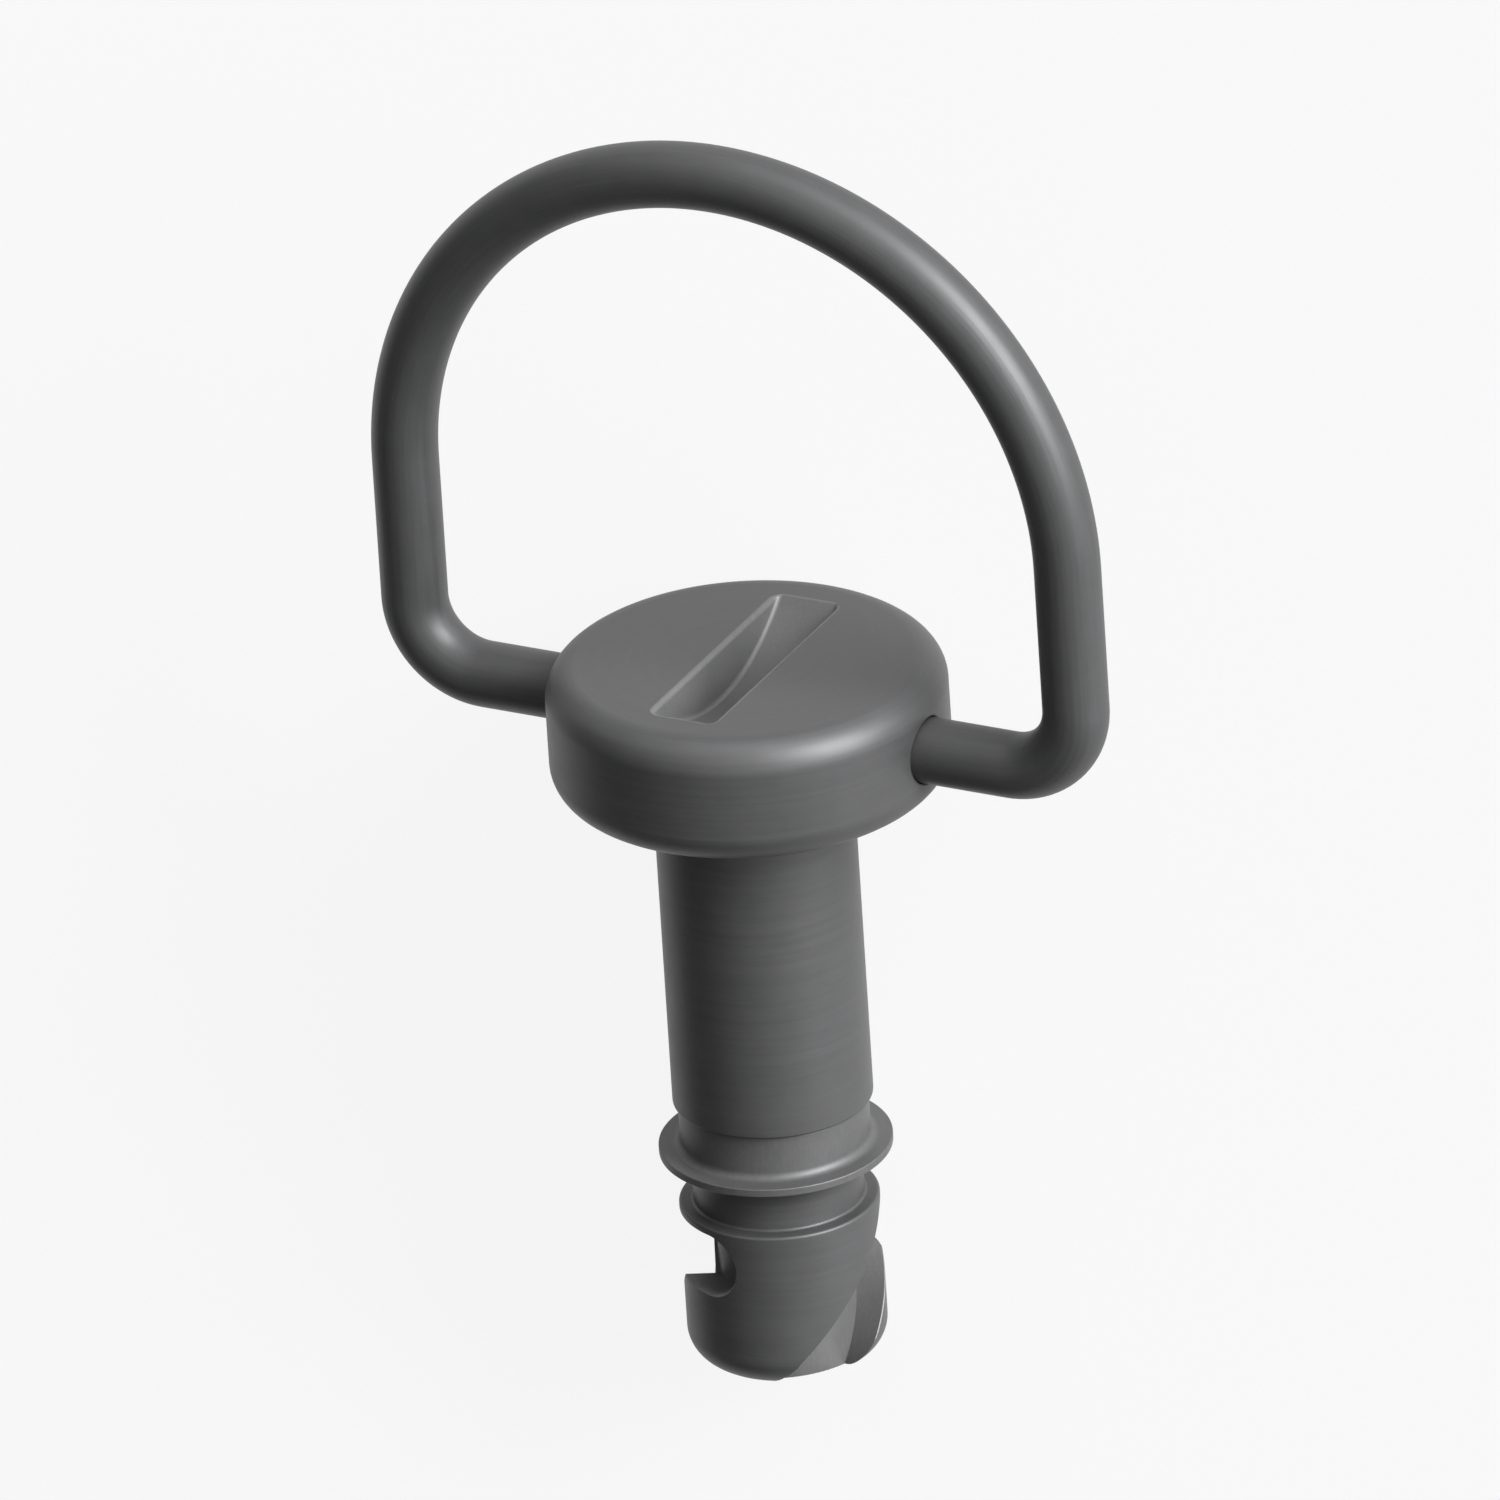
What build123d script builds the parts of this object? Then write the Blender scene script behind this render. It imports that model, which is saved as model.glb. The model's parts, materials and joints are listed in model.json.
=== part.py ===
from build123d import *
from math import asin, atan2, cos, degrees, hypot, pi, radians, sin, tan
import os

# Quarter-turn fastener: a slotted, cam-grooved stud with a hinged wire bail and a retaining washer.
# Every piece is drawn upright in the stud's own frame, in millimetres: Z is the stud's axis and
# points out of the head, X is the axis that the bail swings on, and they cross in the middle of
# the head. At the end the pieces are laid down together, the way the loose fastener rests.

# Head
head_diameter = 19.05  # 3/4 in
head_height = 6.35  # 1/4 in
head_edge_radius = 1.5875  # 1/16 in

# Screwdriver slot, cut by a disc that sinks into the top of the head
slot_width = 3.175  # 1/8 in
slot_depth = 2.5
slot_cutter_radius = 10.32
slot_edge_radius = 0.25

# Shank, which turns in the panel's hole
shank_diameter = 9.525  # 3/8 in
shank_length = 16.67
shank_edge_radius = 0.15

# Neck, with the bead that keeps the washer up against the shank
neck_diameter = 8.13
neck_length = 5.22
neck_foot_radius = 0.15
bead_height = 0.45
bead_flare_radius = 2.0

# Cam end
cam_diameter = 9.525  # 3/8 in
cam_length = 8.2
cam_top_edge_radius = 0.15
cam_bottom_edge_radius = 1.5875  # 1/16 in

# Cam grooves: each is a level track with a round stop that turns down a ramp and out of the bottom
groove_count = 2
groove_width = 3.175  # 1/8 in
groove_depth = 1.5875  # 1/16 in
groove_roof = 0.4
groove_level_angle = 40
groove_ramp_angle = 45
groove_stop_angle = -110

# Bail, bent from round wire
wire_diameter = 3.175  # 1/8 in
bail_width = 38.1  # 1 1/2 in
bail_bend_radius = 2.0
bail_leg_height = 10.85
wire_end_chamfer = 0.3

# Fit of the bail's ends in the head
pin_engagement = 4.45
pin_clearance = 0.05
pin_end_gap = 0.4
drill_point_angle = 118

# Retaining washer, pressed from sheet and sprung over the neck through its split
washer_sheet = 0.4
washer_diameter = 11.1125  # 7/16 in
washer_height = 2.58
washer_bend_radius = 0.4
washer_split = 0.8
washer_split_angle = 120
washer_clearance = 0.06
washer_end_play = 0.06

# Radii, heights and distances that follow from the sizes above
head_radius = head_diameter / 2
shank_radius = shank_diameter / 2
neck_radius = neck_diameter / 2
cam_radius = cam_diameter / 2
wire_radius = wire_diameter / 2
head_top = head_height / 2
head_underside = -head_top
shank_end = head_underside - shank_length
cam_top = shank_end - neck_length
cam_bottom = cam_top - cam_length

washer_top = shank_end - washer_end_play
washer_bottom = washer_top - washer_height
bead_top = washer_bottom - washer_end_play
bead_radius = neck_radius + bead_height
bead_drop = (bead_flare_radius**2 - (bead_flare_radius - bead_height) ** 2) ** 0.5

bail_leg = bail_width / 2 - wire_radius
bail_bend = bail_bend_radius + wire_radius
pin_end = head_radius - pin_engagement
pin_hole_radius = wire_radius + pin_clearance
pin_hole_end = pin_end - pin_end_gap
drill_point = pin_hole_radius / tan(radians(drill_point_angle / 2))

# The disc that cuts the screwdriver slot, standing in the head across the bail's axis
with BuildPart() as slot_cutter:
    with BuildSketch(Plane.YZ.offset(-slot_width / 2)):
        with Locations((0, head_top - slot_depth + slot_cutter_radius)):
            Circle(slot_cutter_radius)
    extrude(amount=slot_width)
    fillet(slot_cutter.edges().filter_by(GeomType.CIRCLE), slot_edge_radius)

# One cam groove, as the body that its flat end mill clears. The mill points at the stud's axis, and
# its middle runs along the track on the cam end's surface: a helix that starts a groove's width
# below the cam end, at angle 0, and turns level at the corner.
mill_tip = cam_radius - groove_depth
mill_length = 2 * groove_depth
track_height = cam_top - groove_roof - groove_width / 2
ramp_start = cam_bottom - groove_width
ramp_rise = track_height - ramp_start
ramp_lead = 2 * pi * cam_radius * tan(radians(groove_ramp_angle))
corner_angle = 360 * ramp_rise / ramp_lead

with BuildPart() as cam_groove:
    with BuildLine():
        ramp = Helix(ramp_lead, ramp_rise, cam_radius, center=(0, 0, ramp_start))
    with BuildSketch(Plane(origin=ramp @ 0, x_dir=(1, 0, 0), z_dir=ramp % 0)):
        with Locations((mill_tip - cam_radius, 0)):
            Rectangle(mill_length, groove_width, align=(Align.MIN, Align.CENTER))
    sweep(path=ramp, is_frenet=True)
    with BuildSketch(Plane.XZ.rotated((0, 0, corner_angle))):
        with Locations((mill_tip, track_height)):
            Rectangle(mill_length, groove_width, align=(Align.MIN, Align.CENTER))
    revolve(axis=Axis.Z, revolution_arc=groove_level_angle)
    mill_outward = (Align.CENTER, Align.CENTER, Align.MIN)
    with Locations((0, 0, track_height)):
        with PolarLocations(mill_tip, 2, corner_angle, groove_level_angle, endpoint=True):
            Cylinder(groove_width / 2, mill_length, rotation=(0, 90, 0), align=mill_outward)

# The stud: one bar, turned, slotted, cross-drilled for the bail and milled with its cam grooves
with BuildPart() as stud:
    with BuildSketch(Plane.XZ):
        with BuildLine():
            FilletPolyline(
                (0, head_top),
                (head_radius, head_top),
                (head_radius, head_underside),
                (shank_radius, head_underside),
                (shank_radius, shank_end),
                (neck_radius, shank_end),
                (neck_radius, bead_top),
                (bead_radius, bead_top),
                radius=[head_edge_radius, head_edge_radius, 0, shank_edge_radius, 0, 0],
            )
            flare_centre = (neck_radius + bead_flare_radius, bead_top - bead_drop)
            flare_angle = degrees(asin(bead_drop / bead_flare_radius))
            CenterArc(flare_centre, bead_flare_radius, 180 - flare_angle, flare_angle)
            FilletPolyline(
                (neck_radius, bead_top - bead_drop),
                (neck_radius, cam_top),
                (cam_radius, cam_top),
                (cam_radius, cam_bottom),
                (0, cam_bottom),
                (0, head_top),
                radius=[neck_foot_radius, cam_top_edge_radius, cam_bottom_edge_radius, 0],
            )
        make_face()
    revolve(axis=Axis.Z)

    # Blind holes for the bail's ends, one in each side of the head
    with BuildSketch(Plane.XZ):
        with BuildLine():
            Polyline(
                (pin_hole_end - drill_point, 0),
                (pin_hole_end, pin_hole_radius),
                (head_radius, pin_hole_radius),
                (head_radius, 0),
                close=True,
            )
        make_face()
        mirror(about=Plane.YZ)
    revolve(axis=Axis.X, mode=Mode.SUBTRACT)

    with PolarLocations(0, groove_count, groove_stop_angle - groove_level_angle - corner_angle):
        add(cam_groove.part, mode=Mode.SUBTRACT)

    add(slot_cutter.part, mode=Mode.SUBTRACT)
    slot_outline = stud.faces().filter_by(Axis.Z).sort_by(Axis.Z)[-1].inner_wires()[0]
    fillet(slot_outline.edges(), slot_edge_radius)

# The bail: a wire bent to a D, whose ends turn in the head's holes
with BuildPart() as bail:
    with BuildLine(Plane.XZ) as bail_track:
        FilletPolyline(
            (pin_end, 0),
            (bail_leg, 0),
            (bail_leg, bail_leg_height),
            radius=bail_bend,
        )
        mirror(about=Plane.YZ)
        CenterArc((0, bail_leg_height), bail_leg, 0, 180)
    with BuildSketch(Plane.YZ.offset(pin_end)):
        Circle(wire_radius)
    sweep(path=bail_track.wire())
    chamfer(bail.faces().filter_by(Axis.X).edges(), wire_end_chamfer)

# The retaining washer: a collar round the neck that turns out into a flange, with a split
with BuildPart() as retaining_washer:
    collar_middle = neck_radius + washer_clearance + washer_sheet / 2
    flange_middle = washer_bottom + washer_sheet / 2
    with BuildSketch(Plane.XZ):
        with BuildLine():
            FilletPolyline(
                (collar_middle, washer_top),
                (collar_middle, flange_middle),
                (washer_diameter / 2, flange_middle),
                radius=washer_bend_radius + washer_sheet / 2,
            )
        trace(line_width=washer_sheet)
    revolve(axis=Axis.Z)
    with BuildSketch(Plane.XY.offset(washer_bottom).rotated((0, 0, washer_split_angle))):
        Rectangle(washer_diameter, washer_split, align=(Align.MIN, Align.CENTER))
    extrude(amount=washer_height, mode=Mode.SUBTRACT)

# The fastener lies on the round edges of its head and its cam end, with the bail's axis level. Each
# edge is an arc about a ring, and the floor touches both arcs.
head_ring_radius = head_radius - head_edge_radius
head_ring_height = head_underside + head_edge_radius
cam_ring_radius = cam_radius - cam_bottom_edge_radius
cam_ring_height = cam_bottom + cam_bottom_edge_radius
ring_radius_step = head_ring_radius - cam_ring_radius
ring_height_step = head_ring_height - cam_ring_height
edge_radius_step = cam_bottom_edge_radius - head_edge_radius
rest_tilt = atan2(ring_radius_step, ring_height_step) - asin(
    edge_radius_step / hypot(ring_radius_step, ring_height_step)
)
tilted = Plane(origin=(0, 0, 0), x_dir=(1, 0, 0), z_dir=(0, cos(rest_tilt), sin(rest_tilt)))
pieces = [stud, bail, retaining_washer]
extent = Compound([piece.part.moved(tilted.location) for piece in pieces]).bounding_box()
resting = Pos(0, -extent.center().Y, -extent.min.Z) * tilted.location
for piece in pieces:
    piece.part = piece.part.moved(resting)

stud.part.label = "stud"
bail.part.label = "bail"
retaining_washer.part.label = "retaining_washer"

os.makedirs("parts", exist_ok=True)
export_step(stud.part, "parts/stud.step")
export_step(bail.part, "parts/bail.step")
export_step(retaining_washer.part, "parts/retaining_washer.step")
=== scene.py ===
"""Quarter-turn fastener in satin steel: a turned and milled stud, a wire bail and a sprung washer.

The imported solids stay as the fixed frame. Each piece here is a finer surface of the same form, worked
out in the stud's own frame, where Z is the stud's axis, X the bail's axis, and they cross in the
middle of the head. The piece is then laid down in the row frame, where the loose fastener rests.
"""
import json

import bmesh
import bpy
import numpy as np
from bpy.props import FloatProperty, FloatVectorProperty, PointerProperty
from mathutils import Matrix, Vector


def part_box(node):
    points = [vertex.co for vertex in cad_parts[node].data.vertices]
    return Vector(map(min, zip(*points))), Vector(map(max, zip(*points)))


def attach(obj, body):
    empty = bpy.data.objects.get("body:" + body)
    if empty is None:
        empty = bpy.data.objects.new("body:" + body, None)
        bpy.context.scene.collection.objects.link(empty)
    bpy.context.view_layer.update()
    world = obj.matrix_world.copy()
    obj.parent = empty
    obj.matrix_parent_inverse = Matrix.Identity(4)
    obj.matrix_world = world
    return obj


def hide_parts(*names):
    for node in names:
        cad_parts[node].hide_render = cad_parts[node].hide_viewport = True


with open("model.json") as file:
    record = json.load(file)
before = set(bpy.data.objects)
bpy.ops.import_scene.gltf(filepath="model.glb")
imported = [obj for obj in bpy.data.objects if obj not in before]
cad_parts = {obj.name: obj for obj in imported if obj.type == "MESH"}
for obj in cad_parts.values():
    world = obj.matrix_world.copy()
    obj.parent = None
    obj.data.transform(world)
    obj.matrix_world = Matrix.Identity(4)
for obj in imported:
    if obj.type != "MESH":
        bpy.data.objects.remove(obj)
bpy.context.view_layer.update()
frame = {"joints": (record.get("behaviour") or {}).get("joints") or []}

bl_info = {
    "name": "Quarter-Turn Fastener",
    "version": (1, 0, 0),
    "blender": (4, 5, 0),
    "location": "View3D > Sidebar > Fastener",
    "description": "Builds a slotted quarter-turn stud with its bail and retaining washer",
    "category": "Object",
}

MM = 0.001
JOINTS = {joint["name"]: joint for joint in frame["joints"]}
PIVOT = Vector(JOINTS["bail_swing"]["pos_m"])
BAIL_AXIS = Vector(JOINTS["bail_swing"]["axis"])
STUD_AXIS = Vector(JOINTS["washer_spin"]["axis"])
BAIL_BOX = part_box("bail")

# Where each lamp stands, in shares of the camera's right, its up and its back. The key is the window.
LAMPS = {
    "key": (0.61, 0.46, 0.65),
    "side": (0.72, 0.16, 0.68),
    "top": (0.00, 0.88, 0.47),
    "fill": (-0.60, 0.60, 0.53),
}


def stud_to_row():
    """The turn and shift that take the stud's own frame to the row frame."""
    turn = Matrix((BAIL_AXIS, STUD_AXIS.cross(BAIL_AXIS), STUD_AXIS)).transposed()
    return Matrix.Translation(PIVOT) @ turn.to_4x4()


def length(name, description, default):
    """A size in metres, shown in the scene's own units."""
    return FloatProperty(
        name=name, description=description, default=default, min=0, unit="LENGTH", precision=5
    )


def share(name, description, default):
    """A number from 0 to 1."""
    return FloatProperty(name=name, description=description, default=default, min=0, max=1, subtype="FACTOR")


def colour(name, description, default):
    """A plain colour."""
    return FloatVectorProperty(
        name=name, description=description, default=default, min=0, max=1, size=3, subtype="COLOR"
    )


def angle(name, description, degrees):
    """An angle, given in degrees."""
    return FloatProperty(name=name, description=description, default=np.radians(degrees), subtype="ANGLE")


class HeadSizes(bpy.types.PropertyGroup):
    """The head, its screwdriver slot and the blind holes for the bail."""

    radius: length("Head radius", "Radius of the round head", 9.525 * MM)
    height: length("Head height", "Thickness of the head", 6.35 * MM)
    edge: length("Edge radius", "Round along both rims of the head", 1.5875 * MM)
    slot_width: length("Slot width", "Width of the screwdriver slot", 3.175 * MM)
    slot_depth: length("Slot depth", "Depth in the slot's middle", 2.5 * MM)
    slot_disc: length("Slot disc radius", "Radius of the disc that cuts the slot", 10.32 * MM)
    slot_edge: length("Slot edge radius", "Round at the slot's rim and floor", 0.25 * MM)
    hole: length("Hole radius", "Radius of the bail's holes", 1.6375 * MM)
    hole_floor: length("Hole floor", "From the stud's axis to the hole's full width", 4.675 * MM)
    hole_point: length("Hole point", "Length of the drilled cone", 0.984 * MM)


class BarrelSizes(bpy.types.PropertyGroup):
    """The shank, the neck and the cam end."""

    shank: length("Shank radius", "Radius of the plain shank", 4.7625 * MM)
    shank_length: length("Shank length", "From the head to the neck", 16.67 * MM)
    neck: length("Neck radius", "Radius of the neck", 4.065 * MM)
    neck_length: length("Neck length", "From the shank to the cam end", 5.22 * MM)
    bead_drop: length("Bead place", "From the shank down to the bead", 2.7 * MM)
    bead: length("Bead height", "How far the bead stands out of the neck", 0.45 * MM)
    flare: length("Flare radius", "Round that runs from the bead back to the neck", 2.0 * MM)
    cam: length("Cam radius", "Radius of the cam end", 4.7625 * MM)
    cam_length: length("Cam length", "Length of the cam end", 8.2 * MM)
    tip_edge: length("Tip radius", "Round at the bottom of the cam end", 1.5875 * MM)
    edge: length("Edge radius", "Round at the shank's and the cam end's other edges", 0.15 * MM)
    broken_edge: length("Broken edge", "Round where a tool only broke the edge", 0.06 * MM)


class GrooveSizes(bpy.types.PropertyGroup):
    """The two cam grooves."""

    width: length("Groove width", "Diameter of the end mill", 3.175 * MM)
    depth: length("Groove depth", "Depth under the cam end's surface", 1.5875 * MM)
    roof: length("Roof", "Wall left between the level track and the neck", 0.4 * MM)
    chamfer: length("Chamfer", "Broken edge along the groove", 0.05 * MM)
    ramp: angle("Ramp angle", "Climb of the ramp", 45)
    level: angle("Level angle", "Turn of the level track", 40)
    stop: angle("Stop angle", "Place of the first stop", -110)


class BailSizes(bpy.types.PropertyGroup):
    """The bail, bent from round wire."""

    wire: length("Wire radius", "Radius of the wire", 1.5875 * MM)
    leg: length("Leg place", "From the stud's axis to the middle of a leg", BAIL_BOX[1].x - 1.5875 * MM)
    bend: length("Bend radius", "Radius of the wire's middle at the two lower bends", 3.5875 * MM)
    leg_height: length("Leg height", "From the bail's axis to where the arch starts", 10.85 * MM)
    end: length("Wire end", "From the stud's axis to the wire's end", 5.075 * MM)
    chamfer: length("Chamfer", "Chamfer of the wire's ends", 0.3 * MM)


class WasherSizes(bpy.types.PropertyGroup):
    """The retaining washer, pressed from sheet."""

    sheet: length("Sheet", "Thickness of the sheet", 0.4 * MM)
    radius: length("Washer radius", "Radius of the flange", 5.55625 * MM)
    collar: length("Collar radius", "Inner radius of the collar", 4.125 * MM)
    height: length("Washer height", "From the flange's face to the collar's rim", 2.58 * MM)
    top: length("Washer place", "From the bail's axis down to the collar's rim", 19.905 * MM)
    bend: length("Bend radius", "Inner round between the collar and the flange", 0.4 * MM)
    split: length("Split", "Gap that lets the washer spring over the neck", 0.8 * MM)
    split_angle: angle("Split angle", "Place of the split", 120)
    broken_edge: length("Broken edge", "Round along the sheet's cut edges", 0.05 * MM)


class TurnedFinish(bpy.types.PropertyGroup):
    """The lathe's finish on the stud: fine rings round its axis."""

    colour: colour("Colour", "Colour of the turned steel", (0.105, 0.106, 0.108))
    metallic: share("Metallic", "Share of the bare metal in the look", 0.50)
    roughness: share("Roughness", "Roughness between the marks", 0.49)
    pitch: length("Pitch", "Distance between the rings", 0.22 * MM)
    marks: length("Mark depth", "Depth of the rings", 0.0030 * MM)


class MilledFinishAndPaintedLight(bpy.types.PropertyGroup):
    """The mill's finish in the slot, the grooves and the holes, with painted light: its colour is lighter
    than the turned steel's, to lift the shade in these hollows and brighten their rims.
    """

    # Painted light: this colour is lighter than the turned steel's, partly the mill's own finish and partly
    # lift for the shade in the slot, grooves and holes and for the slot's rims.
    colour: colour("Colour", "Colour of the milled steel", (0.160, 0.161, 0.163))
    metallic: share("Metallic", "Share of the bare metal in the look", 0.35)
    roughness: share("Roughness", "Roughness between the marks", 0.50)
    pitch: length("Pitch", "Distance between the marks", 0.16 * MM)
    marks: length("Mark depth", "Depth of the marks", 0.0020 * MM)


class DrawnFinish(bpy.types.PropertyGroup):
    """The finish of drawn wire: long faint lines along it."""

    colour: colour("Colour", "Colour of the wire", (0.098, 0.099, 0.101))
    metallic: share("Metallic", "Share of the bare metal in the look", 0.50)
    roughness: share("Roughness", "Roughness between the lines", 0.48)
    pitch: length("Pitch", "Distance between the lines", 0.20 * MM)
    run: length("Run", "Length of a line", 7.0 * MM)
    marks: length("Mark depth", "Depth of the lines", 0.0045 * MM)


class RolledFinish(bpy.types.PropertyGroup):
    """The finish of the washer's spring sheet, polished a little by the press."""

    colour: colour("Colour", "Colour of the sheet", (0.138, 0.139, 0.141))
    metallic: share("Metallic", "Share of the bare metal in the look", 0.50)
    roughness: share("Roughness", "Roughness of the sheet", 0.52)
    pitch: length("Pitch", "Size of the grain", 0.18 * MM)
    marks: length("Mark depth", "Depth of the grain", 0.0012 * MM)


class StageSettings(bpy.types.PropertyGroup):
    """The camera's place and the light."""

    azimuth: angle("Camera azimuth", "How far the camera stands round the stud's axis", 28.4)
    elevation: angle("Camera elevation", "How far the camera looks down on the head", 26.4)
    roll: angle("Camera roll", "How far the camera leans", 3.7)
    lens: FloatProperty(name="Lens", description="Focal length in millimetres", default=1200.0, min=50.0)
    frame: length("Frame", "Width of the view at the stud", 70.66 * MM)
    aside: length("Aside", "How far the view's middle stands right of the stud's middle", 0.061 * MM)
    below: length("Below", "How far the view's middle stands below the stud's middle", 1.460 * MM)
    floor: colour("Floor", "Colour of the floor", (0.86, 0.86, 0.86))
    glow: share("Glow", "Share of plain white in the floor, which thins out the shadow", 0.88)
    ambient: share("Ambient", "Strength of the light from all round", 0.38)
    shade: share("Shade", "Strength of the room's far side in reflections", 0.12)
    softness: angle("Softness", "How wide each lamp looks from the fastener", 36)
    key: FloatProperty(name="Key", description="Strength of the light from the upper right", default=3.6)
    side: FloatProperty(name="Side", description="Strength of the light from the right", default=2.6)
    top: FloatProperty(name="Top", description="Strength of the light from above the head", default=0.55)
    fill: FloatProperty(name="Fill", description="Strength of the light from the upper left", default=0.1)


class FastenerSettings(bpy.types.PropertyGroup):
    """All sizes, finishes and settings of the fastener, kept with the scene."""

    head: PointerProperty(type=HeadSizes)
    barrel: PointerProperty(type=BarrelSizes)
    groove: PointerProperty(type=GrooveSizes)
    bail: PointerProperty(type=BailSizes)
    washer: PointerProperty(type=WasherSizes)
    turned: PointerProperty(type=TurnedFinish)
    milled: PointerProperty(type=MilledFinishAndPaintedLight)
    drawn: PointerProperty(type=DrawnFinish)
    rolled: PointerProperty(type=RolledFinish)
    stage: PointerProperty(type=StageSettings)


class Field:
    """What a node gives out over a surface. Sums, products, shares and powers of it add Math nodes."""

    def __init__(self, look, socket):
        self.look = look
        self.socket = socket

    def other(self, name):
        """Another output of the same node."""
        return Field(self.look, self.socket.node.outputs[name])

    def math(self, operation, *terms):
        """What a Math node makes of the terms."""
        return self.look.node("ShaderNodeMath", {"operation": operation}, dict(enumerate(terms)))

    def __add__(self, term):
        return self.math("ADD", self, term)

    def __radd__(self, term):
        return self.math("ADD", term, self)

    def __sub__(self, term):
        return self.math("SUBTRACT", self, term)

    def __rsub__(self, term):
        return self.math("SUBTRACT", term, self)

    def __mul__(self, term):
        return self.math("MULTIPLY", self, term)

    def __rmul__(self, term):
        return self.math("MULTIPLY", term, self)

    def __truediv__(self, term):
        return self.math("DIVIDE", self, term)

    def __rtruediv__(self, term):
        return self.math("DIVIDE", term, self)

    def __pow__(self, term):
        return self.math("POWER", self, term)

    def __rpow__(self, term):
        return self.math("POWER", term, self)

    def larger(self, term):
        """The larger of this and the term."""
        return self.math("MAXIMUM", self, term)


class Look:
    """The node tree of a material or a world, emptied and built anew."""

    def __init__(self, owner):
        owner.use_nodes = True
        self.tree = owner.node_tree
        self.tree.nodes.clear()

    def node(self, kind, settings=None, values=None):
        """Adds a node, sets it, and gives its inputs their values or links."""
        made = self.tree.nodes.new(kind)
        for name, value in (settings or {}).items():
            setattr(made, name, value)
        for name, value in (values or {}).items():
            if isinstance(value, Field):
                self.tree.links.new(value.socket, made.inputs[name])
            else:
                made.inputs[name].default_value = value
        return Field(self, made.outputs[0]) if made.outputs else None


def noise(look, place, size, detail=3.0, fourth=0.0):
    """Noise with spots of that size, from 0 to 1 about a half, at a place of four coordinates."""
    values = {"Vector": place, "W": fourth, "Scale": 1 / size, "Detail": detail, "Roughness": 0.6}
    return look.node("ShaderNodeTexNoise", {"noise_dimensions": "4D"}, values)


def stud_place(look):
    """The place in the stud's own frame, found back from the place in the row frame."""
    own = stud_to_row()
    return look.node(
        "ShaderNodeMapping",
        {"vector_type": "TEXTURE"},
        {
            "Vector": look.node("ShaderNodeTexCoord").other("Object"),
            "Location": own.translation,
            "Rotation": own.to_euler(),
        },
    )


def steel(name, finish, marks_of, cloud_size=1.6 * MM, mark_tone=0.36, cloud_tone=0.16, sheen=0.12):
    """Satin steel. Its marks stand out as a bump, and with wide faint clouds they change the finish.

    The colour is multiplied by 1 plus a share of the marks and of the clouds, and the roughness has a
    share of both added to it. Marks and clouds both count from a half. Noise keeps to about the middle
    half of its range, so the bump has twice the marks' depth.
    """
    material = bpy.data.materials.new(name)
    look = Look(material)
    place, marks = marks_of(look, finish)
    cloud = noise(look, place, cloud_size, detail=2.0)
    height = marks * (2 * finish.marks)
    bump = look.node("ShaderNodeBump", None, {"Strength": 1.0, "Distance": 1.0, "Height": height})
    tone = 1 + (marks - 0.5) * mark_tone + (cloud - 0.5) * cloud_tone
    shade = look.node(
        "ShaderNodeVectorMath", {"operation": "SCALE"}, {0: tuple(finish.colour), "Scale": tone}
    )
    shader = look.node(
        "ShaderNodeBsdfPrincipled",
        None,
        {
            "Base Color": shade,
            "Metallic": finish.metallic,
            "Roughness": finish.roughness + (marks - 0.5) * sheen + (cloud - 0.5) * sheen,
            "Normal": bump,
        },
    )
    look.node("ShaderNodeOutputMaterial", None, {"Surface": shader})
    return material


def ring_marks(look, finish, wander=0.6):
    """Rings round the stud's axis: noise of the radius and the height.

    Two more coordinates go round a circle, whose radius in pitches is the wander, so no ring is even.
    """
    place = stud_place(look)
    x = look.node("ShaderNodeSeparateXYZ", None, {"Vector": place})
    y, z = x.other("Y"), x.other("Z")
    radius = (x * x + y * y) ** 0.5
    drift = wander * finish.pitch
    round_about = {"X": radius, "Y": x / radius * drift, "Z": y / radius * drift}
    across = look.node("ShaderNodeCombineXYZ", None, round_about)
    return place, noise(look, across, finish.pitch, detail=4.0, fourth=z)


def grain_marks(look, finish, run=3):
    """Fine grain, drawn out along the stud's axis to so many times its width."""
    place = stud_place(look)
    drawn_out = look.node("ShaderNodeVectorMath", {"operation": "MULTIPLY"}, {0: place, 1: (1, 1, 1 / run)})
    return place, noise(look, drawn_out, finish.pitch)


def wire_marks(look, finish):
    """Lines along the wire: noise at the place on the straight wire, drawn out along it."""
    place = look.node("ShaderNodeAttribute", {"attribute_name": "straight"}).other("Vector")
    stretch = finish.pitch / finish.run
    drawn_out = look.node("ShaderNodeVectorMath", {"operation": "MULTIPLY"}, {0: place, 1: (1, 1, stretch)})
    return place, noise(look, drawn_out, finish.pitch)


def mirrored(ray):
    """One for what is seen in a reflection or through glass, and otherwise nought."""
    return ray.other("Is Glossy Ray").larger(ray.other("Is Transmission Ray"))


def seen(look):
    """One for what the camera sees, straight or in a reflection or through glass, and otherwise nought."""
    camera = look.node("ShaderNodeLightPath").other("Is Camera Ray")
    return camera.larger(mirrored(camera))


def pale_floor(stage):
    """A matt floor with a share of plain white, where the camera or a reflection sees it."""
    material = bpy.data.materials.new("pale floor")
    look = Look(material)
    matt = look.node("ShaderNodeBsdfDiffuse", None, {"Color": (*stage.floor, 1)})
    white = look.node("ShaderNodeEmission", None, {"Color": (1, 1, 1, 1), "Strength": 1.0})
    mixed = look.node("ShaderNodeMixShader", None, {0: seen(look) * stage.glow, 1: matt, 2: white})
    look.node("ShaderNodeOutputMaterial", None, {"Surface": mixed})
    return material


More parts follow.
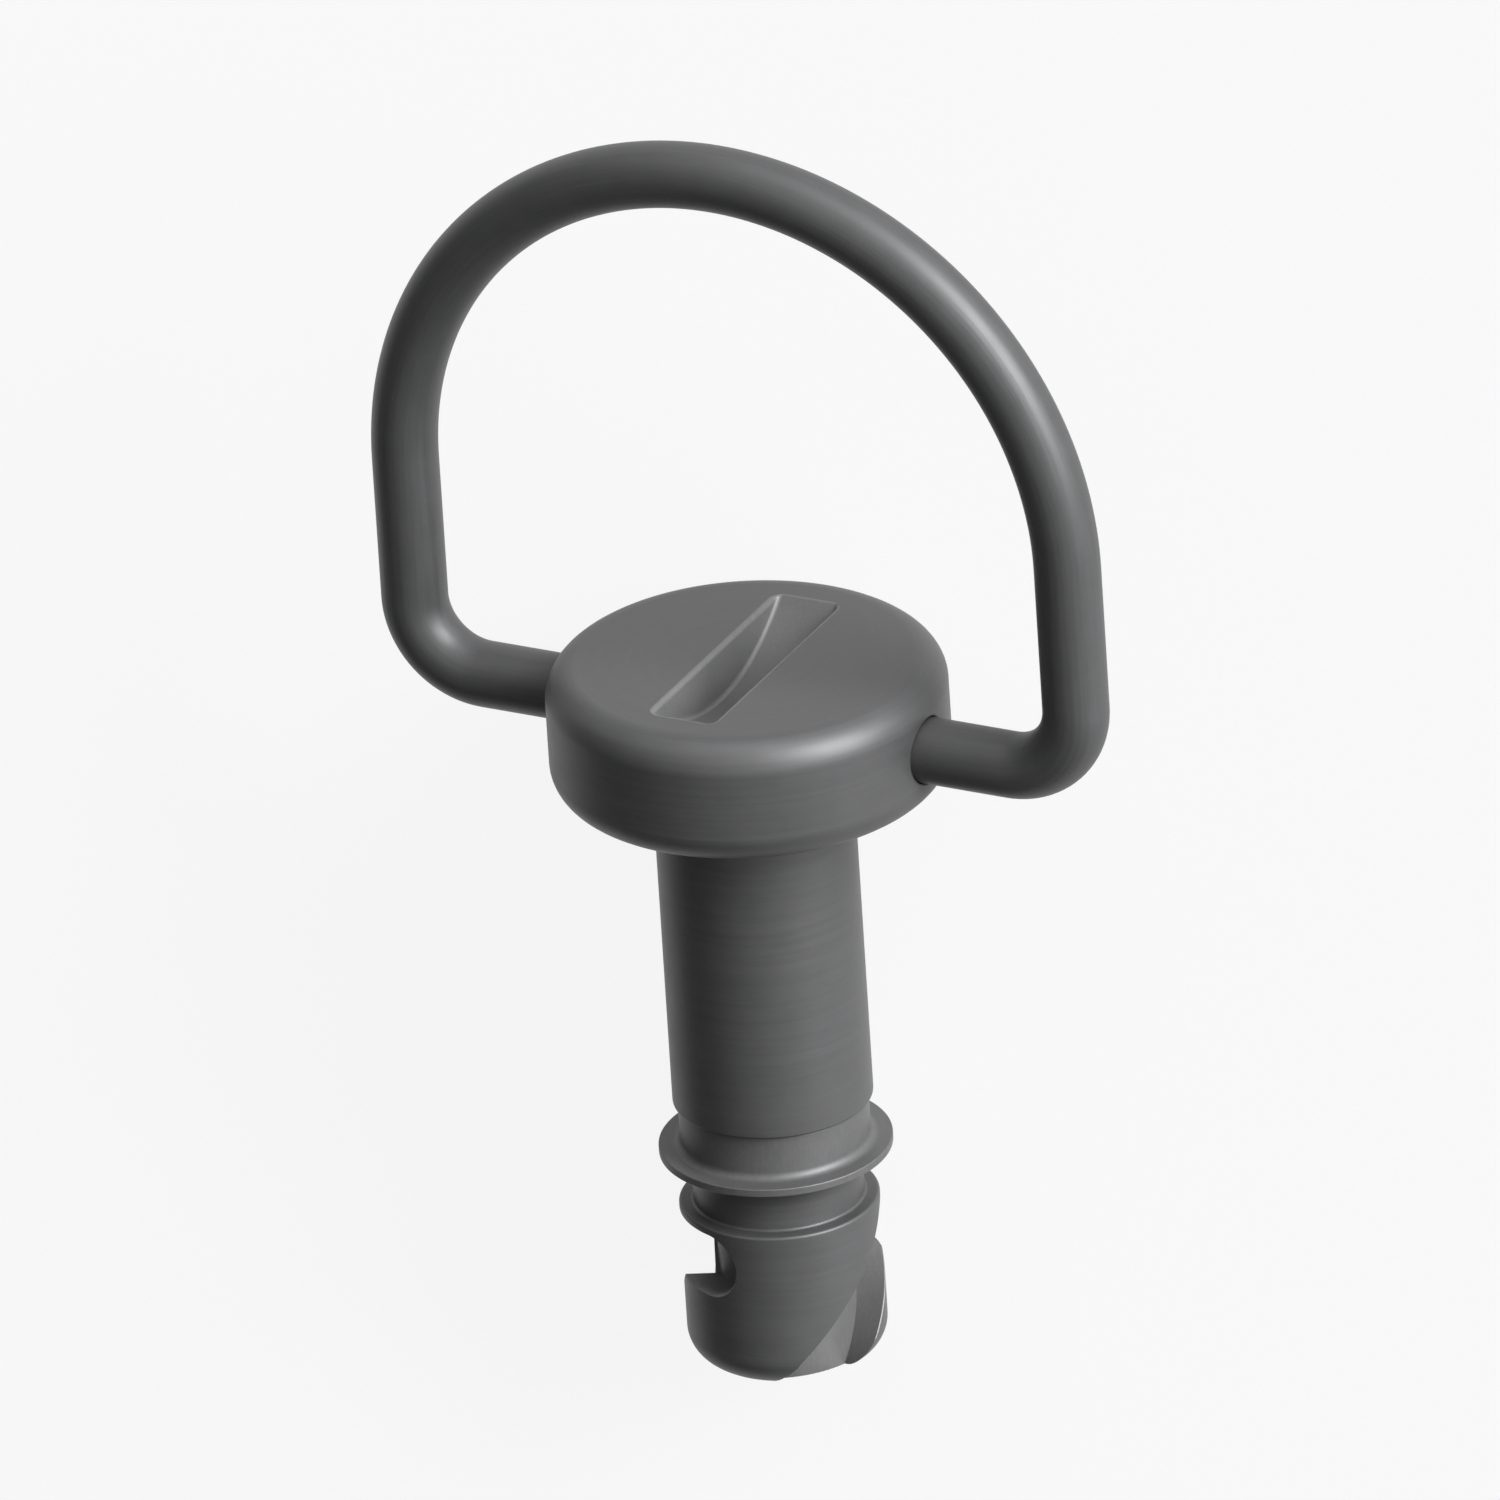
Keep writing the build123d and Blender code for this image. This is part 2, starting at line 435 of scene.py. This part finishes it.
def white_world(stage, window, spill=0.3):
    """White to the camera. Reflections see it too, as a white room that darkens away from its window.

    The room's strength grows with the cosine of the angle to the window plus the spill, held between
    nought and one, from the shade's strength to one. The light from all round has a share of it.
    """
    world = bpy.data.worlds.new("white surroundings")
    look = Look(world)
    direction = look.node("ShaderNodeTexCoord").other("Generated")
    dot = look.node("ShaderNodeVectorMath", {"operation": "DOT_PRODUCT"}, {0: direction, 1: window})
    bright = look.node("ShaderNodeClamp", None, {"Value": dot.other("Value") + spill})
    room = stage.shade + (1 - stage.shade) * bright
    camera = look.node("ShaderNodeLightPath").other("Is Camera Ray")
    mirror = mirrored(camera)
    strength = camera + (1 - camera) * room * (mirror + (1 - mirror) * stage.ambient)
    light = look.node("ShaderNodeBackground", None, {"Color": (1, 1, 1, 1), "Strength": strength})
    look.node("ShaderNodeOutputWorld", None, {"Surface": light})
    return world


def rounded(corners, radii, steps=9):
    """Points along straight lines whose inner corners are rounded.

    An arc leaves each corner's first line at radius / tan(half the corner's angle) from the corner,
    and its points are shares of its two ends' directions, sin((1 - t) turn) and sin(t turn).
    """
    corners = np.asarray(corners, float)
    t = np.linspace(0, 1, steps)[:, None]
    runs = [corners[:1]]
    for before, corner, after, radius in zip(corners, corners[1:], corners[2:], radii):
        back = (before - corner) / np.linalg.norm(before - corner)
        on = (after - corner) / np.linalg.norm(after - corner)
        half = np.arccos(back @ on) / 2
        if radius == 0:
            runs.append(corner[None])
            continue
        centre = corner + (back + on) / np.linalg.norm(back + on) * radius / np.sin(half)
        first = corner + back * radius / np.tan(half) - centre
        last = corner + on * radius / np.tan(half) - centre
        turn = np.pi - 2 * half
        runs.append(centre + (np.sin((1 - t) * turn) * first + np.sin(t * turn) * last) / np.sin(turn))
    runs.append(corners[-1:])
    return np.concatenate(runs)


def mesh_from(grid, ring=True, first_cap=True, last_cap=True):
    """A mesh of the grid's points, in rows that may close into rings.

    A face takes its corners from two neighbours in a row and the same two in the next row. A cap is
    one face over a whole end row.
    """
    rows, columns = grid.shape[:2]
    place = np.arange(rows * columns).reshape(rows, columns)
    after = np.roll(place, -1, 1)
    quads = np.stack([place[:-1], after[:-1], after[1:], place[1:]], -1)
    quads = quads if ring else quads[:, :-1]
    faces = quads.reshape(-1, 4).tolist()
    if first_cap:
        faces.append(place[0, ::-1].tolist())
    if last_cap:
        faces.append(place[-1].tolist())
    mesh = bpy.data.meshes.new("surface")
    mesh.from_pydata(grid.reshape(-1, 3), [], faces)
    return mesh


def closed(mesh, merge=0.0002 * MM):
    """The mesh with its poles and repeated points merged, and its faces pointing outwards."""
    shape = bmesh.new()
    shape.from_mesh(mesh)
    bmesh.ops.remove_doubles(shape, verts=shape.verts, dist=merge)
    bmesh.ops.recalc_face_normals(shape, faces=shape.faces)
    shape.to_mesh(mesh)
    shape.free()
    return mesh


def put(name, data):
    """A new object of that mesh, camera or lamp, at the origin."""
    made = bpy.data.objects.new(name, data)
    bpy.context.scene.collection.objects.link(made)
    return made


def piece(name, mesh, material):
    """A new piece of that mesh and material."""
    mesh.materials.append(material)
    return put(name, mesh)


def revolved(profile, segments=240):
    """Rows of points round Z: a profile's (radius, height) goes to radius (cos a, sin a) and that height."""
    around = np.linspace(0, 2 * np.pi, segments, endpoint=False)
    radius, height = profile[:, 0, None], profile[:, 1, None]
    return np.stack([radius * np.cos(around), radius * np.sin(around), height + 0 * around], -1)


def carve(body, cutters):
    """Takes each cutter out of the body. The cut faces keep the cutter's material."""
    for cutter in cutters:
        cut = body.modifiers.new("cut", "BOOLEAN")
        cut.operation = "DIFFERENCE"
        cut.solver = "EXACT"
        cut.material_mode = "TRANSFER"
        cut.object = cutter
        depsgraph = bpy.context.evaluated_depsgraph_get()
        carved = bpy.data.meshes.new_from_object(body.evaluated_get(depsgraph))
        body.modifiers.clear()
        body.data = carved
        bpy.data.objects.remove(cutter)


def lay_down(made, node, body, crease=np.radians(30)):
    """Puts a finished piece in the row frame, in its solid's place, smooth between its sharp edges."""
    made.data.transform(stud_to_row())
    made.data.shade_smooth()
    made.data.set_sharp_from_angle(angle=crease)
    even = made.modifiers.new("even normals", "WEIGHTED_NORMAL")
    even.keep_sharp = True
    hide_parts(node)
    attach(made, body)


def bar_profile(head, barrel, corner_steps=13, flare_steps=12):
    """Half of the turned bar's section, as (radius, height) from the top of the head to the cam end's tip.

    The flare under the bead is an arc about a point outside the neck, from the bead's rim to where it
    meets the neck square to its radius.
    """
    top = head.height / 2
    under = -top
    shank_end = under - barrel.shank_length
    cam_top = shank_end - barrel.neck_length
    cam_bottom = cam_top - barrel.cam_length
    bead_top = shank_end - barrel.bead_drop
    bead_rim = barrel.neck + barrel.bead
    sunk = barrel.flare - barrel.bead
    fall = np.sqrt(barrel.flare**2 - sunk**2)
    broken = barrel.broken_edge
    upper = rounded(
        [
            (0, top),
            (head.radius, top),
            (head.radius, under),
            (barrel.shank, under),
            (barrel.shank, shank_end),
            (barrel.neck, shank_end),
            (barrel.neck, bead_top),
            (bead_rim, bead_top),
            (bead_rim - broken * fall / barrel.flare, bead_top - broken * sunk / barrel.flare),
        ],
        [head.edge, head.edge, broken, barrel.edge, broken, broken, broken / 2],
        steps=corner_steps,
    )
    turn = np.linspace(np.pi - np.arcsin(fall / barrel.flare), np.pi, flare_steps)[1:, None]
    middle = np.array([barrel.neck + barrel.flare, bead_top - fall])
    flare = middle + barrel.flare * np.hstack([np.cos(turn), np.sin(turn)])
    lower = rounded(
        [
            (barrel.neck, bead_top - fall),
            (barrel.neck, cam_top),
            (barrel.cam, cam_top),
            (barrel.cam, cam_bottom),
            (0, cam_bottom),
        ],
        [barrel.edge, barrel.edge, barrel.tip_edge],
        steps=corner_steps,
    )
    return np.concatenate([upper[1:-1], flare, lower[1:-1]])


def slot_body(head, rows=121, arc_steps=9):
    """The body that the slot's disc clears, with the rolled rim that the slot is finished with.

    Along the slot the depth follows the disc, depth = slot depth - disc + sqrt(disc^2 - y^2), and
    then a round that touches both the disc and the top. Across it, two arcs of the edge radius turn
    by the angle t, with cos t = 1 - depth / (2 edge), and where the slot is deeper an upright wall
    stands between them.
    """
    top = head.height / 2
    edge = head.slot_edge
    sunk = head.slot_disc - head.slot_depth
    reach = np.sqrt((head.slot_disc + edge) ** 2 - (sunk + edge) ** 2)
    y = reach * np.sin(np.linspace(-np.pi / 2, np.pi / 2, rows))[:, None]
    on_disc = np.abs(y) < reach * head.slot_disc / (head.slot_disc + edge)
    disc_depth = np.sqrt(np.where(on_disc, head.slot_disc**2 - y**2, 1)) - sunk
    roll_depth = edge - np.sqrt(np.where(on_disc, 0, np.maximum(edge**2 - (reach - np.abs(y)) ** 2, 0)))
    depth = np.where(on_disc, disc_depth, roll_depth)
    depth[[0, -1]] = 0
    turn = np.arccos(np.clip(1 - depth / (2 * edge), 0, 1))
    floor_edge = head.slot_width / 2 - edge
    arc = np.linspace(0, 1, arc_steps)
    low, high = turn * arc, turn * (1 - arc)
    low_x = floor_edge + edge * np.sin(low)
    high_x = floor_edge + edge * (2 * np.sin(turn) - np.sin(high))
    x = np.hstack([0 * y, low_x, high_x, high_x[:, -1:]])
    low_fall = depth - edge * (1 - np.cos(low))
    fall = np.hstack([depth, low_fall, edge * (1 - np.cos(high)), 0 * y - MM])
    x = np.hstack([-x[:, :0:-1], x])
    fall = np.hstack([fall[:, :0:-1], fall])
    return np.stack([x, y + 0 * x, top - fall], -1)


def hole_body(head, barrel, segments=96):
    """The body that one of the bail's holes clears, about X, with the broken edge at its mouth.

    At the angle a about X the head's surface is sqrt(head radius^2 - (hole radius cos a)^2) out, and
    the mouth opens at 45 degrees through it. The first row is the drill's point, and the last is clear
    of the head.
    """
    around = np.linspace(0, 2 * np.pi, segments, endpoint=False)
    surface = np.sqrt(head.radius**2 - (head.hole * np.cos(around)) ** 2)
    chamfer = barrel.broken_edge
    flat = 0 * around
    out = np.stack([
        head.hole_floor - head.hole_point + flat,
        head.hole_floor + flat,
        surface - chamfer,
        surface + chamfer,
        head.radius + MM + flat,
    ])
    mouth = head.hole + 2 * chamfer
    radius = np.array([0, head.hole, head.hole, mouth, mouth])[:, None]
    return np.stack([out, radius * np.cos(around), radius * np.sin(around)], -1)


def groove_body(head, barrel, groove):
    """The body that the end mill clears along one groove.

    The mill points at the stud's axis. Its middle climbs a helix, height = cam radius x angle x
    tan(ramp), and then goes level. Two rails stand off the middle by half the width, each in a
    direction in the plane of the mill's end: the upper rail swings round the corner, the lower one
    waits there where the ramp's wall meets the level wall, and at the stop both swing to the front.
    A rail has four points: the floor, the chamfer's two ends about the cam end's surface, which is
    sqrt(cam radius^2 - offset^2) out, and a point outside.
    """
    half = groove.width / 2
    cam_top = -head.height / 2 - barrel.shank_length - barrel.neck_length
    start = cam_top - barrel.cam_length - groove.width
    track = cam_top - groove.roof - half
    climb = barrel.cam * np.tan(groove.ramp)
    corner = (track - start) / climb
    wait = (track - half * (1 - np.cos(groove.ramp)) - start) / climb
    part = wait + np.arctan(half * np.cos(groove.ramp) / (barrel.cam - groove.depth))
    leave = corner + np.arctan(half / (barrel.cam - groove.depth))
    end = corner + groove.level
    up, down = groove.ramp + np.pi / 2, groove.ramp - np.pi / 2
    flat = np.pi / 2
    chamfer = groove.chamfer
    # How many steps each stretch of the track has.
    climbing, turning, swinging, level, stopping = 60, 6, 16, 24, 33

    def run(first, last, steps):
        return np.linspace(first, last, steps, endpoint=False)

    def still(value, steps):
        return np.full(steps, value)

    climb_angle = run(0, wait, climbing)
    level_angle = [run(leave, end, level), still(end, stopping)]
    upper_angle = [
        climb_angle,
        run(wait, corner, turning),
        still(corner, swinging),
        run(corner, leave, swinging),
        *level_angle,
    ]
    lower_angle = [climb_angle, still(wait, turning + swinging), run(part, leave, swinging), *level_angle]
    upper_turn = [
        still(up, climbing + turning),
        run(up, flat, swinging),
        still(flat, swinging + level),
        np.linspace(flat, 0, stopping),
    ]
    lower_turn = [
        still(down, climbing + turning + swinging),
        still(-flat, swinging + level),
        np.linspace(-flat, 0, stopping),
    ]

    def rail(around, turn):
        around, turn = np.concatenate(around)[:, None], np.concatenate(turn)[:, None]
        surface = np.sqrt(barrel.cam**2 - (half * np.cos(turn)) ** 2)
        out = np.hstack([
            0 * surface + barrel.cam - groove.depth,
            surface - chamfer,
            surface + chamfer,
            0 * surface + barrel.cam + MM,
        ])
        aside = half + chamfer * np.array([0, 0, 2, 2])
        forward, rise = aside * np.cos(turn), aside * np.sin(turn)
        height = np.minimum(start + climb * around, track) + rise
        return np.stack([
            out * np.cos(around) - forward * np.sin(around),
            out * np.sin(around) + forward * np.cos(around),
            height,
        ], -1)

    section = np.concatenate([rail(upper_angle, upper_turn)[:, ::-1], rail(lower_angle, lower_turn)], 1)
    back = groove.stop - end
    x, y, z = np.moveaxis(section, -1, 0)
    return np.stack([x * np.cos(back) - y * np.sin(back), x * np.sin(back) + y * np.cos(back), z], -1)


def half_turn(grid):
    """The grid turned half a turn about Z."""
    return grid * np.array([-1, -1, 1])


class FASTENER_OT_stud(bpy.types.Operator):
    """Turn the stud and mill its slot, holes and cam grooves"""

    bl_idname = "fastener.stud"
    bl_label = "Stud"

    def execute(self, context):
        settings = context.scene.fastener
        head, barrel, groove = settings.head, settings.barrel, settings.groove
        turned = steel("turned steel", settings.turned, ring_marks)
        # The milled steel's lighter colour is partly painted light in the slot, the grooves and the holes.
        milled = steel("milled steel", settings.milled, grain_marks)
        profile = bar_profile(head, barrel)
        stud = piece("turned_stud", closed(mesh_from(revolved(profile))), turned)
        hole = hole_body(head, barrel)
        channel = groove_body(head, barrel, groove)
        cuts = [mesh_from(slot_body(head))]
        cuts += [mesh_from(grid, first_cap=False) for grid in (hole, half_turn(hole))]
        cuts += [mesh_from(grid, last_cap=False) for grid in (channel, half_turn(channel))]
        carve(stud, [piece("cutter", closed(cut), milled) for cut in cuts])
        lay_down(stud, "stud", "stud")
        return {"FINISHED"}


def bail_line(bail, bend_steps=25, arch_steps=121):
    """The wire's middle in the XZ plane, from end to end: points, directions and lengths along it."""
    right = rounded(
        [(bail.end, 0), (bail.leg, 0), (bail.leg, bail.leg_height)], [bail.bend], steps=bend_steps
    )
    turn = np.linspace(0, np.pi, arch_steps)[1:-1, None]
    arch = [0, bail.leg_height] + bail.leg * np.hstack([np.cos(turn), np.sin(turn)])
    return np.concatenate([right, arch, right[::-1] * [-1, 1]])


def bail_surface(bail, segments=64):
    """The wire's surface in rings about its middle, and each point's place on the wire before it was bent.

    A ring stands square to the middle's direction d: at the angle a it is radius cos a aside, along d
    turned by a right angle in the XZ plane, and radius sin a out along Y. The first and last rings
    are smaller by the chamfer. On the straight wire a point is as far aside and out, and as far along
    as the middle's length up to it.
    """
    line = bail_line(bail)
    way = np.gradient(line, axis=0)
    way[[0, -1]] = 1, 0
    way /= np.linalg.norm(way, axis=1)[:, None]
    chamfer = np.array([[bail.chamfer, 0]])
    line = np.concatenate([line[:1], line[:1] + chamfer, line[1:-1], line[-1:] - chamfer, line[-1:]])
    way = np.concatenate([way[:1], way, way[-1:]])
    radius = np.full((len(line), 1), bail.wire)
    radius[[0, -1]] -= bail.chamfer
    around = np.linspace(0, 2 * np.pi, segments, endpoint=False)
    aside, out = radius * np.cos(around), radius * np.sin(around)
    step = np.linalg.norm(np.diff(line, axis=0), axis=1)
    along = np.concatenate([[0], np.cumsum(step)])[:, None] + 0 * aside
    bent = np.stack([line[:, :1] - way[:, 1:] * aside, out, line[:, 1:] + way[:, :1] * aside], -1)
    return bent, np.stack([aside, out, along], -1)


class FASTENER_OT_bail(bpy.types.Operator):
    """Bend the bail from wire and put its ends in the head"""

    bl_idname = "fastener.bail"
    bl_label = "Bail"

    def execute(self, context):
        settings = context.scene.fastener
        bent, straight = bail_surface(settings.bail)
        mesh = mesh_from(bent)
        attribute = mesh.attributes.new("straight", "FLOAT_VECTOR", "POINT")
        attribute.data.foreach_set("vector", straight.ravel())
        wire = piece("wire_bail", closed(mesh), steel("drawn wire", settings.drawn, wire_marks))
        lay_down(wire, "bail", "bail")
        return {"FINISHED"}


def washer_surface(washer, steps=241):
    """The washer's section, a collar that bends out into a flange, turned from one side of the split on.

    A side of the split is flat: at each radius it stands off the split's middle by the angle whose
    sine is half the split / radius.
    """
    inner, outer = washer.collar, washer.collar + washer.sheet
    top, face = -washer.top, -washer.top - washer.height
    back = face + washer.sheet
    outside = rounded([(outer, top), (outer, back), (washer.radius, back)], [washer.bend], steps=9)
    inside = rounded(
        [(washer.radius, face), (inner, face), (inner, top)], [washer.bend + washer.sheet], steps=13
    )
    radius, height = np.concatenate([outside, inside]).T
    gap = np.arcsin(washer.split / 2 / radius)
    way_round = np.linspace(0, 1, steps)[:, None]
    around = washer.split_angle + gap + way_round * (2 * np.pi - 2 * gap)
    return np.stack([radius * np.cos(around), radius * np.sin(around), height + 0 * around], -1)


class FASTENER_OT_washer(bpy.types.Operator):
    """Press the retaining washer and spring it over the neck"""

    bl_idname = "fastener.washer"
    bl_label = "Retaining washer"

    def execute(self, context):
        settings = context.scene.fastener
        rolled = steel("rolled sheet", settings.rolled, grain_marks)
        sheet = piece("sprung_washer", closed(mesh_from(washer_surface(settings.washer))), rolled)
        broken = sheet.modifiers.new("broken edges", "BEVEL")
        broken.limit_method = "ANGLE"
        broken.angle_limit = np.radians(40)
        broken.width = settings.washer.broken_edge
        broken.segments = 3
        lay_down(sheet, "retaining_washer", "retaining_washer")
        return {"FINISHED"}


def camera_turn(stage):
    """The camera's turn in the stud's frame: round the stud's axis, then down to the head, then its roll."""
    return (
        Matrix.Rotation(stage.azimuth, 3, "Z")
        @ Matrix.Rotation(np.pi / 2 - stage.elevation, 3, "X")
        @ Matrix.Rotation(-stage.roll, 3, "Z")
    )


def put_camera(stage, turn):
    """The camera, so far back that the frame's width fills its view."""
    view = bpy.data.cameras.new("camera")
    view.lens = stage.lens
    view.sensor_width = 36.0
    view.clip_end = 100.0
    back = stage.frame * stage.lens / view.sensor_width
    place = Matrix.Translation(turn @ Vector((stage.aside, -stage.below, back)))
    camera = put("camera", view)
    camera.matrix_world = stud_to_row() @ place @ turn.to_4x4()
    return camera


def put_lamp(name, strength, softness, direction, away=0.5):
    """A lamp of parallel light from that direction. How far away it stands changes nothing."""
    lamp = bpy.data.lights.new(name, "SUN")
    lamp.energy = strength
    lamp.angle = softness
    shining = put(name, lamp)
    shining.location = away * direction
    shining.rotation_euler = direction.to_track_quat("Z", "Y").to_euler()


class FASTENER_OT_stage(bpy.types.Operator):
    """Set up the floor, the light and the camera"""

    bl_idname = "fastener.stage"
    bl_label = "Stage"

    def execute(self, context):
        scene = context.scene
        stage = scene.fastener.stage
        reach = 6.0
        corners = np.array([[(-1, -1, 0), (-1, 1, 0)], [(1, -1, 0), (1, 1, 0)]]) * reach
        floor = mesh_from(corners, ring=False, first_cap=False, last_cap=False)
        piece("floor", floor, pale_floor(stage))
        turn = camera_turn(stage)
        scene.camera = put_camera(stage, turn)
        to_row = stud_to_row().to_3x3() @ turn
        for name, direction in LAMPS.items():
            put_lamp(name, getattr(stage, name), stage.softness, to_row @ Vector(direction))
        scene.world = white_world(stage, to_row @ Vector(LAMPS["key"]))
        scene.view_settings.view_transform = "Standard"
        return {"FINISHED"}


class FASTENER_PT_panel(bpy.types.Panel):
    """Lists the pieces in the order in which they are made"""

    bl_label = "Quarter-Turn Fastener"
    bl_idname = "FASTENER_PT_panel"
    bl_space_type = "VIEW_3D"
    bl_region_type = "UI"
    bl_category = "Fastener"

    def draw(self, context):
        for operator in OPERATORS:
            self.layout.operator(operator.bl_idname)


OPERATORS = (FASTENER_OT_stud, FASTENER_OT_bail, FASTENER_OT_washer, FASTENER_OT_stage)
CLASSES = (
    HeadSizes,
    BarrelSizes,
    GrooveSizes,
    BailSizes,
    WasherSizes,
    TurnedFinish,
    MilledFinishAndPaintedLight,
    DrawnFinish,
    RolledFinish,
    StageSettings,
    FastenerSettings,
    *OPERATORS,
    FASTENER_PT_panel,
)


def register():
    """Registers the classes, and keeps the settings with the scene."""
    for cls in CLASSES:
        bpy.utils.register_class(cls)
    bpy.types.Scene.fastener = PointerProperty(type=FastenerSettings)


def unregister():
    """Takes away what register added."""
    del bpy.types.Scene.fastener
    for cls in reversed(CLASSES):
        bpy.utils.unregister_class(cls)


def main():
    """Registers the add-on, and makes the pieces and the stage."""
    register()
    bpy.ops.fastener.stud()
    bpy.ops.fastener.bail()
    bpy.ops.fastener.washer()
    bpy.ops.fastener.stage()


if __name__ == "__main__":
    main()
